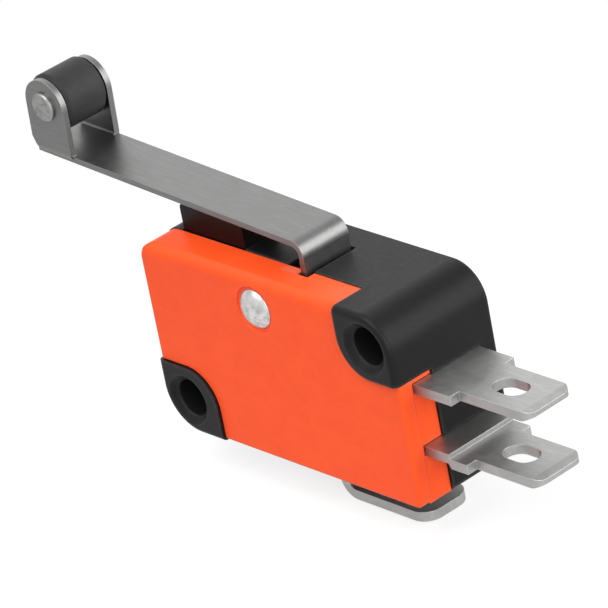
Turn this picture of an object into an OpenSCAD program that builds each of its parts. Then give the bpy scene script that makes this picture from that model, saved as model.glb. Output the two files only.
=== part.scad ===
// Lever micro switch: snap-action switch with a hinged roller lever, quick-connect
// terminals and two through holes for mounting.
// +X runs along the body towards the side terminals, +Z points to the lever and the
// front face with the cover looks towards -Y. The origin is on the axis of the lower
// mounting hole, halfway through the body.

/* [Body] */
// Length of the body
body_l = 27.8; // [26:0.1:32]
// Height of the body without the plunger
body_h = 15.9; // [15.5:0.1:18]
// Thickness of the body across the mounting bosses
body_t = 10.3; // [10:0.1:12]
// Thickness of the outer walls of the case
wall = 1.2; // [0.9:0.05:1.4]
// Thickness of the rear wall of the case
rear_wall = 1.3; // [1:0.05:1.5]
// Outer radius at the upper right corner, round the upper mounting hole
upper_corner_r = 3; // [1:0.1:3.4]
// Outer radius at the lower left corner, round the lower mounting hole
lower_corner_r = 3.5; // [1:0.1:3.8]
// Outer radius at the upper left corner
left_corner_r = 1.5; // [0.7:0.1:2]
// Outer radius at the lower right corner
right_corner_r = 0.6; // [0.6:0.05:1]
// Rounding of the case's rear edge
rear_edge_r = 0.3; // [0.1:0.05:0.5]
// Rounding of the outer edge of the two bosses' faces
boss_edge_r = 0.5; // [0.1:0.05:0.6]

/* [Mounting holes] */
// Diameter of the two mounting holes
hole_d = 3.1; // [2.5:0.05:3.4]
// Distance of each mounting hole from the two edges nearest to it
hole_edge = 2.8; // [2.6:0.05:3.2]
// Mouth diameter of the countersink on each hole
hole_mouth_d = 4.3; // [3.6:0.05:4.6]
// Length of the upper boss along the body
upper_boss_l = 5.7; // [5.4:0.1:6.3]
// Length of the lower boss along the body
lower_boss_l = 6.1; // [5.6:0.1:6.6]
// Height of the upper boss, as a share of the body's height
upper_boss_share = 0.34; // [0.332:0.004:0.36]
// Height of the lower boss, as a share of the body's height
lower_boss_share = 0.356; // [0.34:0.004:0.37]
// Radius of the inner corner of each boss
boss_r = 3; // [1:0.1:3.4]

/* [Cover] */
// How far the cover's face lies behind the faces of the bosses
cover_recess = 0.3; // [0.1:0.05:0.5]
// Thickness of the cover's face
cover_wall = 1.1; // [0.8:0.05:1.3]
// Depth of the parting line behind the bosses' faces, along the top and bottom
parting_depth = 3.35; // [3.1:0.05:3.35]
// Depth of the cover's skirt at the terminal end
skirt_depth = 3.65; // [3:0.05:4.2]
// Radius of the cover's long upper front edge
cover_edge_r = 0.8; // [0.2:0.05:1]
// Rounding of the rest of the cover's outer edge
cover_rim_r = 0.3; // [0.1:0.05:0.5]
// Inset of the cover's outline from the outline of the case
cover_inset = 0.1; // [0:0.05:0.2]
// Diameter of the head of the cover's rivet
rivet_head_d = 3.3; // [2.6:0.1:3.6]
// Diameter of the rivet's shank
rivet_d = 1.6; // [1.2:0.1:1.8]
// Distance of the rivet from the left end
rivet_x = 12.7; // [12:0.1:12.7]
// Distance of the rivet from the top
rivet_down = 2.8; // [2.6:0.1:3.4]

/* [Lever] */
// Thickness of the lever's sheet
lever_t = 0.5; // [0.4:0.05:0.6]
// Width of the lever
lever_w = 4.7; // [4:0.1:4.9]
// Angle by which the free lever rises to its roller
lever_rise = 3; // [1:0.1:4]
// Distance of the lever's hinge from the left end
hinge_x = 15.4; // [15.3:0.1:17]
// Depth of the hinge below the top of the body
hinge_down = 1.4; // [1.2:0.05:1.6]
// Height of the lever's upper face above its hinge
arm_h = 3.95; // [3.6:0.05:4.3]
// Length of the lever from its hinge to the roller
arm_l = 27; // [24:0.1:34]
// Inner radius of the bend at the lever's hinge end
lever_bend_r = 0.7; // [0.4:0.05:1.1]
// Diameter of the hinge pin
hinge_pin_d = 1; // [0.8:0.05:1.2]

/* [Roller] */
// Diameter of the roller
roller_d = 4.8; // [4:0.1:5.6]
// Height of the roller's axis above the lever's upper face
roller_lift = 3.9; // [3.5:0.1:4.3]
// Distance between the outer faces of the two cheeks that hold the roller
cheek_span = 5.1; // [4.9:0.1:5.6]
// Length of each cheek along the lever
cheek_l = 4.4; // [4:0.1:5.4]
// Gap between the roller and each cheek
roller_side_gap = 0.1; // [0.05:0.05:0.3]
// Diameter of the roller's axle
axle_d = 1.5; // [1.2:0.05:1.8]
// Diameter of the axle's two riveted heads
axle_head_d = 2.4; // [2:0.1:3]

/* [Plunger] */
// Length of the plunger along the body
plunger_l = 7; // [6.4:0.1:7.2]
// Width of the plunger across the body
plunger_w = 3.4; // [2.8:0.1:3.4]
// Distance of the plunger's left side from the left end
plunger_x = 2.1; // [1.9:0.05:2.3]
// Radius of the plunger's crowned top
plunger_crown_r = 25; // [12:1:40]
// Radius of the plunger's upper edges
plunger_edge_r = 0.5; // [0.2:0.05:1]
// Gap between the plunger and the lever when the switch is free
plunger_gap = 0.06; // [0.03:0.01:0.15]

/* [Terminals] */
// Thickness of the terminals
terminal_t = 0.8; // [0.7:0.05:0.9]
// Width of the terminals' tabs
tab_w = 4.8; // [4.6:0.1:6.4]
// Width of the side terminals at their roots
root_w = 6.7; // [6.5:0.1:7.2]
// Height of the top of the normally closed terminal, as a share of the body's height
nc_share = 0.63; // [0.61:0.005:0.635]
// Height of the top of the normally open terminal, as a share of the body's height
no_share = 0.302; // [0.29:0.004:0.33]
// Reach of the normally closed terminal past the end of the body
nc_reach = 10.7; // [9:0.1:13]
// Reach of the normally open terminal past the end of the body
no_reach = 10.6; // [9:0.1:13]
// Length of the wide root of the normally closed terminal outside the body
nc_root_l = 3.7; // [1.5:0.1:4]
// Length of the wide root of the normally open terminal outside the body
no_root_l = 4.2; // [3:0.1:5]
// Height of the step in the normally open terminal
no_step = 0.4; // [0.2:0.05:0.5]
// Depth of the common terminal's tab below the body, to its lower face
com_drop = 3.15; // [2.6:0.1:4]
// Distance of the common terminal's leg from the left end
com_x = 16; // [15.8:0.1:17]
// Distance of the common terminal's tip from the left end
com_tip = 25.3; // [24:0.1:28]
// Length of the oval hole in each tab
tab_hole_l = 3.2; // [2:0.1:3.6]
// Width of the oval hole in each tab
tab_hole_w = 2.1; // [1.6:0.1:2.6]
// Radius of the two corners at the tip of a side terminal
tab_corner_r = 1; // [0.6:0.1:1.4]
// Radius of the two corners at the tip of the common terminal
com_corner_r = 1.5; // [0.8:0.1:1.8]
// Distance from the middle of a tab's hole to its tip
tab_hole_in = 4; // [3.4:0.1:4.6]

/* [Contacts] */
// Diameter of the contacts
contact_d = 2.6; // [2:0.1:3]
// Open gap between the moving contact and the normally open contact
contact_gap = 0.62; // [0.5:0.01:0.8]
// Distance of the contacts from the left end
contact_x = 20.9; // [20:0.1:21.4]
// Thickness of the contact arm
contact_arm_t = 0.35; // [0.25:0.05:0.45]
// Distance of the contact arm's knife edge from the left end
knife_x = 9.9; // [9.5:0.1:10.2]

/* [Springs] */
// Outer diameter of the snap spring
snap_spring_d = 1.7; // [1.4:0.1:1.9]
// Wire diameter of the snap spring
snap_wire_d = 0.26; // [0.2:0.02:0.3]
// Outer diameter of the plunger's return spring
return_spring_d = 2.6; // [2.4:0.1:3]
// Wire diameter of the return spring
return_wire_d = 0.3; // [0.2:0.02:0.36]

/* [Hidden] */
$fn = 72;
eps = 0.01;

// Clearances: a sliding or turning fit, a piece laid in its seat, and free air round a moving piece.
slide_gap = 0.08;
seat_gap = 0.04;
free_gap = 0.35;

// Edges of the body in the model's own frame
x_left = -hole_edge;
x_right = x_left + body_l;
z_bottom = -hole_edge;
z_top = z_bottom + body_h;
y_front = -body_t / 2;
y_back = body_t / 2;
y_cover = y_front + cover_recess;
y_cover_in = y_cover + cover_wall;
y_parting = min(y_front + parting_depth, -plunger_w / 2 - slide_gap);
y_skirt = y_front + skirt_depth;
y_rear_in = y_back - rear_wall;
z_in = z_bottom + wall;

// Radii of the body's corners: lower left, lower right, upper right, upper left
corner_radii = [lower_corner_r, right_corner_r, upper_corner_r, left_corner_r];

// Mounting holes
upper_hole = [x_right - hole_edge, z_top - hole_edge];
lower_hole = [x_left + hole_edge, z_bottom + hole_edge];
mouth_depth = 0.5;

// Lever hinge
pivot = [x_left + hinge_x, z_top - hinge_down];
eye_r = hinge_pin_d / 2 + 0.03;
eye_outer_r = eye_r + lever_t;
pocket_x0 = pivot[0] - eye_outer_r - free_gap;
pocket_x1 = pivot[0] + eye_outer_r + 0.45;
pocket_z = pivot[1] - eye_outer_r - free_gap;
pocket_y0 = -lever_w / 2 - 0.2;
pocket_y1 = lever_w / 2 + 0.2;
pocket_wall = 0.9;
pin_back = y_rear_in + 0.5;
pin_front = y_cover_in - 0.3;
arm_under = arm_h - lever_t;

// Plunger: its crown touches the underside of the lever's arm
plunger_mid = x_left + plunger_x + plunger_l / 2;
arm_dx = pivot[0] - plunger_mid;
crown_centre_z = pivot[1] + (arm_under - plunger_gap - plunger_crown_r) / cos(lever_rise)
    + arm_dx * tan(lever_rise);
flange_over = 0.5;
flange_t = 1.2;
flange_top = z_top - wall - slide_gap;
stem_w = 2;
stem_x = plunger_mid + 0.7;

// Heights of the corner bosses
upper_boss_h = upper_boss_share * body_h;
lower_boss_h = lower_boss_share * body_h;

// Contacts and terminals
moving_head_h = 0.5;
nc_contact_h = 0.75;
nc_rest_gap = 0.04;
nc_z = z_bottom + nc_share * body_h;
no_z = z_bottom + no_share * body_h;
contacts_x = x_left + contact_x;
knife = [x_left + knife_x, nc_z - terminal_t - nc_contact_h - nc_rest_gap - moving_head_h - contact_arm_t / 2];
inner_w = 5;
terminal_in = contacts_x - contact_d / 2 - 0.2;
moving_top = knife[1] + contact_arm_t / 2 + moving_head_h;
moving_bottom = knife[1] - contact_arm_t / 2 - moving_head_h;
nc_contact_z = moving_top + nc_rest_gap;
no_contact_z = moving_bottom - contact_gap;
shank_d = 1.4;

// Common terminal and the bracket that carries the contact arm
com_leg = x_left + com_x;
com_floor = z_in + 0.5;
com_in = x_left + 8;
bracket_t = 0.6;
bracket_x = knife[0] - 0.1 - bracket_t;
bracket_foot_z = com_floor + terminal_t;
bracket_rivet_x = bracket_x + 3.2;
bracket_top = knife[1] + 1.9;
bracket_window = 2.6;
bracket_rivet_d = 1;
bracket_rivet_y = 1.3;

// Spring anchors: the plunger's hook and the eye in the contact arm
hook_slot = 0.9;
hook_bar_d = 0.6;
hook = [stem_x, knife[1] + 0.45];
arm_eye = [knife[0] + 0.645 * (contacts_x - knife[0]), knife[1]];

// --- helpers -------------------------------------------------------------------------

// Extrudes a side view (drawn as x, z) from y0 to y1.
module side_view(y0, y1) {
    translate([0, y1, 0]) rotate([90, 0, 0]) linear_extrude(y1 - y0) children();
}

// Extrudes an end view (drawn as y, z) from x0 to x1.
module end_view(x0, x1) {
    translate([x0, 0, 0]) rotate([90, 0, 90]) linear_extrude(x1 - x0) children();
}

// A round pin along Y at [x, z].
module cross_pin(at, d, y0, y1) {
    translate([at[0], y0, at[1]]) rotate([-90, 0, 0]) cylinder(d = d, h = y1 - y0);
}

// A box given by its lowest and highest corners.
module block(lo, hi) {
    translate(lo) cube(hi - lo);
}

// The corner that a radius removes: a square less a quarter circle, with its tip at the origin.
module corner_waste(r) {
    difference() {
        translate([-eps, -eps]) square(r + eps);
        translate([r, r]) circle(r);
    }
}

// A rectangle with its own radius at each corner, in the order lower left, lower right,
// upper right, upper left.
module rounded_rect(lo, hi, r) {
    difference() {
        translate(lo) square(hi - lo);
        if (r[0] > 0) translate(lo) corner_waste(r[0]);
        if (r[1] > 0) translate([hi[0], lo[1]]) mirror([1, 0]) corner_waste(r[1]);
        if (r[2] > 0) translate(hi) mirror([1, 0]) mirror([0, 1]) corner_waste(r[2]);
        if (r[3] > 0) translate([lo[0], hi[1]]) mirror([0, 1]) corner_waste(r[3]);
    }
}

// Outline of the body, drawn in by an inset.
module body_outline(inset = 0) {
    rounded_rect([x_left + inset, z_bottom + inset], [x_right - inset, z_top - inset],
        [for (r = corner_radii) max(r - inset, 0)]);
}

// Profile of the material that rounding an edge removes; the edge is at the origin.
module edge_waste(r) {
    difference() {
        translate([-r, -r]) square(r + eps);
        translate([-r, -r]) circle(r);
    }
}

// Material that rounding the body's outline removes, round a face that looks up the local Z axis.
module rim_waste(r, inset = 0) {
    lo = [x_left + inset, z_bottom + inset];
    hi = [x_right - inset, z_top - inset];
    c = [for (q = corner_radii) max(q - inset, r)];
    for (side = [[[hi[0], hi[1] - c[2]], hi[1] - lo[1] - c[2] - c[1], 0],
        [[lo[0] + c[3], hi[1]], hi[0] - lo[0] - c[3] - c[2], 90],
        [[lo[0], lo[1] + c[0]], hi[1] - lo[1] - c[0] - c[3], 180],
        [[hi[0] - c[1], lo[1]], hi[0] - lo[0] - c[1] - c[0], 270]])
        translate(side[0]) rotate([0, 0, side[2]]) rotate([90, 0, 0]) linear_extrude(side[1]) edge_waste(r);
    for (corner = [[lo[0] + c[0], lo[1] + c[0], c[0], 180], [hi[0] - c[1], lo[1] + c[1], c[1], 270],
        [hi[0] - c[2], hi[1] - c[2], c[2], 0], [lo[0] + c[3], hi[1] - c[3], c[3], 90]])
        translate([corner[0], corner[1], 0]) rotate([0, 0, corner[3]])
            rotate_extrude(angle = 90) translate([corner[2], 0]) edge_waste(r);
}

// The same round a face of the body at y, which looks to the front or to the back.
module front_rim_waste(y, r, inset = 0) {
    translate([0, y, 0]) rotate([90, 0, 0]) rim_waste(r, inset);
}

module back_rim_waste(y, r, inset = 0) {
    translate([0, y, 0]) rotate([90, 0, 0]) mirror([0, 0, 1]) rim_waste(r, inset);
}

// Outlines of the two corner bosses, grown by a clearance.
module upper_boss_outline(grow = 0) {
    rounded_rect([x_right - upper_boss_l - grow, z_top - upper_boss_h - grow], [x_right + grow, z_top + grow],
        [boss_r + grow, 0, 0, 0]);
}

module lower_boss_outline(grow = 0) {
    rounded_rect([x_left - grow, z_bottom - grow], [x_left + lower_boss_l + grow, z_bottom + lower_boss_h + grow],
        [0, 0, boss_r + grow, 0]);
}

// A quarter of a bent strip, centred on the bend's axis, in the quadrant given by two signs.
module quarter_bend(r_in, t, sx, sz) {
    intersection() {
        difference() {
            circle(r_in + t);
            circle(r_in);
        }
        flip_x = sx > 0 ? 0 : 1;
        mirror([flip_x, 0]) mirror([0, sz > 0 ? 0 : 1]) square(r_in + t + eps);
    }
}

// A mounting hole with a countersink at both mouths, as the solid to take away.
module mounting_hole(at) {
    cross_pin(at, hole_d, y_front - 1, y_back + 1);
    for (side = [-1, 1])
        translate([at[0], side * body_t / 2, at[1]]) rotate([side * 90, 0, 0])
            translate([0, 0, -eps])
                cylinder(d1 = hole_mouth_d, d2 = hole_d, h = mouth_depth + eps);
}

// Plan of a quick-connect terminal: an inner strip, a wide root and a tab with an oval hole.
module terminal_plan(x_inner, x_root0, x_root1, x_tip) {
    difference() {
        union() {
            translate([x_inner, -inner_w / 2]) square([x_root0 - x_inner + eps, inner_w]);
            translate([x_root0, -root_w / 2]) square([x_root1 - x_root0, root_w]);
            rounded_rect([x_root1 - eps, -tab_w / 2], [x_tip, tab_w / 2], [0, tab_corner_r, tab_corner_r, 0]);
        }
        tab_hole(x_tip - tab_hole_in);
        translate([contacts_x, 0]) circle(d = shank_d + 2 * seat_gap);
    }
}

module tab_hole(x) {
    run = (tab_hole_l - tab_hole_w) / 2;
    translate([x - run, -tab_hole_w / 2]) square([2 * run, tab_hole_w]);
    for (side = [-1, 1]) translate([x + side * run, 0]) circle(d = tab_hole_w);
}

// A riveted contact: a head of the given height with a shank through its carrier.
module riveted_contact(head, carrier) {
    edge = 0.2;
    cylinder(d = contact_d, h = head - edge);
    translate([0, 0, head - edge]) cylinder(d1 = contact_d, d2 = contact_d - 2 * edge, h = edge);
    translate([0, 0, -carrier]) cylinder(d = shank_d, h = carrier + eps);
}

// Points of a coil along +Z, from the height z.
function coil(r, z, length, turns, steps) = [
    for (i = [0 : turns * steps]) let (a = 360 * i / steps)
        [r * cos(a), r * sin(a), z + length * i / (turns * steps)]];

function unit(v) = v / norm(v);

// Direction of a wire at one of its points.
function heading(p, i) = unit(p[min(i + 1, len(p) - 1)] - p[max(i - 1, 0)]);

// A round wire swept along a list of points, carried along without twist.
module wire(points, d, sides) {
    last = len(points) - 1;
    headings = [for (i = [0 : last]) heading(points, i)];
    start = abs(headings[0][1]) < 0.9 ? [0, 1, 0] : [1, 0, 0];
    across = [for (i = 0, u = start; i <= last; i = i + 1,
        u = i <= last ? unit(u - (u * headings[i]) * headings[i]) : u) u];
    rings = [for (i = [0 : last], k = [0 : sides - 1])
        let (a = 360 * k / sides, u = unit(across[i] - (across[i] * headings[i]) * headings[i]),
            v = cross(headings[i], u))
        points[i] + (u * cos(a) + v * sin(a)) * d / 2];
    polyhedron(rings, concat(
        [[for (k = [0 : sides - 1]) k]],
        [for (i = [0 : last - 1], k = [0 : sides - 1], half = [0, 1])
            let (n = (k + 1) % sides, base = i * sides, next = base + sides)
            half == 0 ? [base + k, next + k, next + n] : [base + k, next + n, base + n]],
        [[for (k = [sides - 1 : -1 : 0]) last * sides + k]]));
}

// --- housing -------------------------------------------------------------------------

// Moulded case: shell, corner bosses, lever pocket, rivet pillar and the slots of the terminals.
module case() {
    color([0.13, 0.13, 0.13])
    difference() {
        union() {
            difference() {
                side_view(y_parting, y_back) body_outline();
                side_view(y_parting - 1, y_rear_in) body_outline(wall);
            }
            side_view(y_front, y_back) intersection() {
                body_outline();
                union() {
                    upper_boss_outline();
                    lower_boss_outline();
                }
            }
            side_view(y_parting, y_rear_in + eps) intersection() {
                body_outline();
                case_inner_solids();
            }
            spring_seat();
        }
        for (at = [upper_hole, lower_hole]) mounting_hole(at);
        lever_pocket();
        plunger_opening(slide_gap);
        cross_pin(pivot, hinge_pin_d + 0.02, y_parting - 1, pin_back);
        cross_pin(rivet_at(), rivet_d + 2 * seat_gap, y_parting - 1, y_back + 1);
        cross_pin(rivet_at(), rivet_head_d, y_back - rivet_foot, y_back + 1);
        terminal_slots();
        skirt_space();
        rear_panel();
        back_rim_waste(y_back, rear_edge_r);
        front_rim_waste(y_front, boss_edge_r);
    }
}

rivet_foot = 0.5;
function rivet_at() = [x_left + rivet_x, z_top - rivet_down];

// Solids inside the shell: the pillar round the rivet, the block round the lever pocket,
// the pads under the common terminal and the posts that hold the side terminals apart.
module case_inner_solids() {
    translate(rivet_at()) circle(rivet_d / 2 + 0.75);
    pocket_walls();
    for (x = [com_in + 0.6, com_leg - 1.6])
        translate([x, z_in - eps]) square([1, com_floor - z_in - seat_gap + eps]);
    for (span = [[z_in - eps, no_z - terminal_t - seat_gap], [no_z + seat_gap, nc_z - terminal_t - seat_gap]])
        translate([x_right - wall - post_l, span[0]]) square([post_l + eps, span[1] - span[0]]);
}
post_l = 2.4;

module pocket_walls() {
    translate([pocket_x0 - pocket_wall, pocket_z - pocket_wall])
        square([pocket_x1 - pocket_x0 + 2 * pocket_wall, z_top - pocket_z + pocket_wall - wall / 2]);
}

// Ledge with a peg that locates the lower end of the return spring.
spring_x = x_left + plunger_x + 1.25;
spring_seat_z = z_bottom + lower_boss_h;
peg_d = 1.5;
peg_h = 0.9;
module spring_seat() {
    side_view(y_parting, y_rear_in + eps)
        translate([x_left + wall / 2, spring_seat_z - 1.5]) square([spring_x + 1.6 - x_left - wall / 2, 1.5]);
    translate([spring_x, 0, spring_seat_z - eps]) cylinder(d = peg_d, h = peg_h);
}

// Space in which the lever's hinge end swings, open at the top and let into the case and the cover.
module lever_pocket() {
    block([pocket_x0, pocket_y0, pocket_z], [pocket_x1, pocket_y1, z_top + 1]);
}

// Opening in the top wall through which the plunger slides, open to the cover when its front
// wall would be thin.
module plunger_opening(gap) {
    front = -plunger_w / 2 - gap;
    block([x_left + plunger_x - gap, front - y_parting < 0.3 ? y_parting - 1 : front, z_top - wall - 1],
        [x_left + plunger_x + plunger_l + gap, plunger_w / 2 + gap, z_top + 1]);
}

// Slots for the three terminals. They open towards the cover, where the terminals are laid in.
module terminal_slots() {
    for (top = [nc_z, no_z])
        block([x_right - wall - 1, y_front - 1, top - terminal_t - seat_gap],
            [x_right + 1, root_w / 2 + seat_gap, top + seat_gap]);
    block([com_leg - seat_gap, y_front - 1, z_bottom - 1],
        [com_leg + terminal_t + seat_gap, tab_w / 2 + seat_gap, z_in + eps]);
}

// Space in the case's end wall that the cover's deeper skirt fills.
module skirt_space() {
    block([x_right - wall - seat_gap, y_front - 1, z_bottom - 1],
        [x_right + 1, y_skirt + seat_gap, z_top - upper_boss_h - seat_gap]);
}

// Shallow panel let into the rear face, with flush rims at both mounting holes.
rear_panel_depth = 0.25;
module rear_panel() {
    side_view(y_back - rear_panel_depth, y_back + 1) difference() {
        body_outline(0.9);
        upper_boss_outline(-0.2);
        lower_boss_outline(-0.2);
        translate(rivet_at()) circle(rivet_head_d / 2 + 0.5);
    }
}

// Moulded cover with recesses round both bosses and a deeper skirt at the terminal end.
module cover() {
    skirt_step = 0.12;
    pin_boss_r = hinge_pin_d / 2 + 0.7;
    color([0.98, 0.36, 0.18])
    difference() {
        union() {
            difference() {
                intersection() {
                    side_view(y_cover, y_parting) body_outline(cover_inset);
                    end_view(x_left - 1, x_right + 1)
                        rounded_rect([y_cover, z_bottom - 1], [y_parting + 1, z_top - cover_inset],
                            [0, 0, 0, cover_edge_r]);
                }
                side_view(y_cover_in, y_parting + 1) body_outline(wall);
            }
            block([x_right - wall, y_cover_in, z_bottom + cover_inset],
                [x_right - cover_inset - skirt_step, y_skirt, z_top - upper_boss_h - slide_gap]);
            side_view(y_cover_in - eps, y_parting - seat_gap) intersection() {
                body_outline(wall - eps);
                union() {
                    translate(rivet_at()) circle(rivet_d / 2 + 0.75);
                    translate(pivot) circle(pin_boss_r);
                    pocket_walls();
                }
            }
        }
        front_rim_waste(y_cover, cover_rim_r, cover_inset);
        side_view(y_front - 1, y_back) {
            upper_boss_outline(slide_gap);
            lower_boss_outline(slide_gap);
        }
        block([x_right - cover_inset - skirt_step, y_cover_in + 0.2, z_bottom - 1],
            [x_right + 1, y_skirt + 1, z_top - upper_boss_h]);
        cross_pin(rivet_at(), rivet_d + 2 * seat_gap, y_cover - 1, y_parting + 1);
        cross_pin(rivet_at(), rivet_head_d + 0.5, y_cover - 1, y_cover + 0.15);
        lever_pocket();
        cross_pin(pivot, hinge_pin_d + 0.02, pin_front - seat_gap, y_parting + 1);
        for (top = [nc_z, no_z])
            block([x_right - wall - 1, -root_w / 2 - seat_gap, top - terminal_t - seat_gap],
                [x_right + 1, y_skirt + 1, top + seat_gap]);
        block([com_leg - seat_gap, -tab_w / 2 - seat_gap, z_bottom - 1],
            [com_leg + terminal_t + seat_gap, y_parting + 1, z_in + eps]);
    }
}

// Domed rivet that holds the cover on the case, with its closed end sunk in the rear face.
module cover_rivet() {
    head_h = 0.75;
    seat = y_cover + 0.15;
    sphere_r = (pow(rivet_head_d / 2, 2) + head_h * head_h) / (2 * head_h);
    color([0.75, 0.75, 0.76])
    translate([rivet_at()[0], 0, rivet_at()[1]]) {
        intersection() {
            translate([0, seat - head_h + sphere_r, 0]) rotate([90, 0, 0]) sphere(sphere_r, $fn = 96);
            translate([0, seat, 0]) rotate([90, 0, 0]) cylinder(d = rivet_head_d, h = head_h + 1);
        }
        translate([0, y_back - 0.1, 0]) rotate([90, 0, 0]) cylinder(d = rivet_d, h = y_back - 0.1 - seat + eps);
        translate([0, y_back - 0.1, 0]) rotate([90, 0, 0])
            cylinder(d = rivet_head_d - 0.3, h = rivet_foot - 0.1 - seat_gap);
    }
}

// --- actuator ------------------------------------------------------------------------

// Side view of the plunger's block: a flat crown that runs through two small arcs into the sides.
module plunger_profile(x0, bottom) {
    half = plunger_l / 2 - plunger_edge_r;
    reach = plunger_crown_r - plunger_edge_r;
    arc_z = crown_centre_z + sqrt(reach * reach - half * half);
    band = half * plunger_crown_r / reach;
    intersection() {
        translate([plunger_mid, crown_centre_z]) circle(plunger_crown_r, $fn = 360);
        translate([plunger_mid - band, arc_z - eps]) square([2 * band, 2 * plunger_edge_r]);
    }
    for (side = [-1, 1]) translate([plunger_mid + side * half, arc_z]) circle(plunger_edge_r);
    translate([x0, bottom]) square([plunger_l, arc_z - bottom]);
}

// Plunger: crowned block, flange that stops under the top wall, stem with the snap spring's hook
// and a peg for the return spring.
module plunger() {
    x0 = x_left + plunger_x;
    stem_bottom = hook[1] - 0.85;
    half = plunger_w / 2;
    color([0.22, 0.05, 0.05]) {
        difference() {
            union() {
                side_view(-half, half) plunger_profile(x0, flange_top - flange_t);
                block([x0 - flange_over, -half - flange_over, flange_top - flange_t],
                    [x0 + plunger_l + flange_over, half + flange_over, flange_top]);
                block([stem_x - stem_w / 2, -half, stem_bottom],
                    [stem_x + stem_w / 2, half, flange_top - flange_t + eps]);
                translate([spring_x, 0, flange_top - flange_t - peg_h])
                    cylinder(d = peg_d, h = peg_h + eps);
            }
            // Slot that takes the end of the snap spring.
            block([stem_x - stem_w, -hook_slot / 2, stem_bottom - 1],
                [stem_x + stem_w, hook_slot / 2, hook[1] + 1.1]);
        }
        // Bar across the slot, on which the snap spring hooks.
        cross_pin(hook, hook_bar_d, -hook_slot / 2 - eps, hook_slot / 2 + eps);
    }
}

// Coil spring that pushes the plunger back up.
module plunger_spring() {
    foot = spring_seat_z + return_wire_d / 2 + seat_gap;
    head = flange_top - flange_t - return_wire_d / 2 - seat_gap;
    color([0.7, 0.7, 0.72])
    translate([spring_x, 0, foot])
        wire(coil((return_spring_d - return_wire_d) / 2, 0, head - foot, 7, 14), return_wire_d, 8);
}

// Places a child, drawn with the hinge at the origin and the arm level, in the free position.
module at_lever() {
    translate([pivot[0], 0, pivot[1]]) rotate([0, lever_rise, 0]) children();
}

// Side view of the strip: rolled eye, upright, bend and long arm.
module lever_profile() {
    r_out = lever_bend_r + lever_t;
    bend = [eye_outer_r - r_out, arm_h - r_out];
    difference() {
        circle(eye_outer_r);
        circle(eye_r);
        // Mouth of the rolled eye, at its upper left.
        polygon([[0, 0], [-0.2, 3], [-3, 3], [-3, 1.2]]);
    }
    translate([eye_r, 0]) square([lever_t, bend[1]]);
    translate(bend) quarter_bend(lever_bend_r, lever_t, 1, 1);
    translate([-arm_l - cheek_l / 2 + 0.3, arm_under]) square([bend[0] + arm_l + cheek_l / 2 - 0.3, lever_t]);
}

// Side view of a cheek: an arch round the axle, with a bevelled lower corner.
module cheek_profile() {
    foot = arm_under;
    centre_z = arm_h + roller_lift;
    half = cheek_l / 2;
    translate([-arm_l, 0]) difference() {
        union() {
            translate([0, centre_z]) circle(half);
            translate([-half, foot]) square([cheek_l, centre_z - foot]);
        }
        translate([0, centre_z]) circle(d = axle_d + 2 * seat_gap);
        polygon([[-half - 1, foot - 1], [-half + 0.7, foot - 1], [-half + 0.7, foot], [-half, foot + 1.3],
            [-half - 1, foot + 1.3]]);
    }
}

// Lever: one strip of sheet with a rolled eye at its hinge and two cheeks bent up for the roller.
module lever() {
    fold_r = 0.7;
    half_span = cheek_span / 2;
    color([0.62, 0.62, 0.6])
    at_lever() {
        side_view(-lever_w / 2, lever_w / 2) lever_profile();
        intersection() {
            side_view(-half_span, half_span) cheek_profile();
            end_view(-arm_l - cheek_l, -arm_l + cheek_l) difference() {
                rounded_rect([-half_span, arm_under], [half_span, 20], [fold_r, fold_r, 0, 0]);
                rounded_rect([lever_t - half_span, arm_h], [half_span - lever_t, 21],
                    [fold_r - lever_t, fold_r - lever_t, 0, 0]);
            }
        }
    }
}

// Pin on which the lever swings.
module hinge_pin() {
    color([0.7, 0.7, 0.72]) cross_pin(pivot, hinge_pin_d, pin_front, pin_back - seat_gap);
}

roller_at = [-arm_l, arm_h + roller_lift];

// Moulded roller with softened rims.
module roller() {
    w = cheek_span - 2 * lever_t - 2 * roller_side_gap;
    rim = 0.25;
    r = roller_d / 2;
    bore = axle_d / 2 + slide_gap;
    color([0.14, 0.14, 0.14])
    at_lever() translate([roller_at[0], 0, roller_at[1]]) rotate([90, 0, 0])
        rotate_extrude() polygon([[bore, -w / 2], [r - rim, -w / 2], [r, rim - w / 2], [r, w / 2 - rim],
            [r - rim, w / 2], [bore, w / 2]]);
}

// Axle of the roller, riveted over both cheeks.
module roller_axle() {
    head_h = 0.3;
    edge = 0.12;
    color([0.75, 0.75, 0.76])
    at_lever() translate([roller_at[0], 0, roller_at[1]]) rotate([90, 0, 0]) {
        translate([0, 0, -cheek_span / 2 - eps]) cylinder(d = axle_d, h = cheek_span + 2 * eps);
        for (side = [0, 1]) mirror([0, 0, side]) translate([0, 0, cheek_span / 2]) {
            cylinder(d = axle_head_d, h = head_h - edge);
            translate([0, 0, head_h - edge]) cylinder(d1 = axle_head_d, d2 = axle_head_d - 2 * edge, h = edge);
        }
    }
}

// --- snap mechanism ------------------------------------------------------------------

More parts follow.
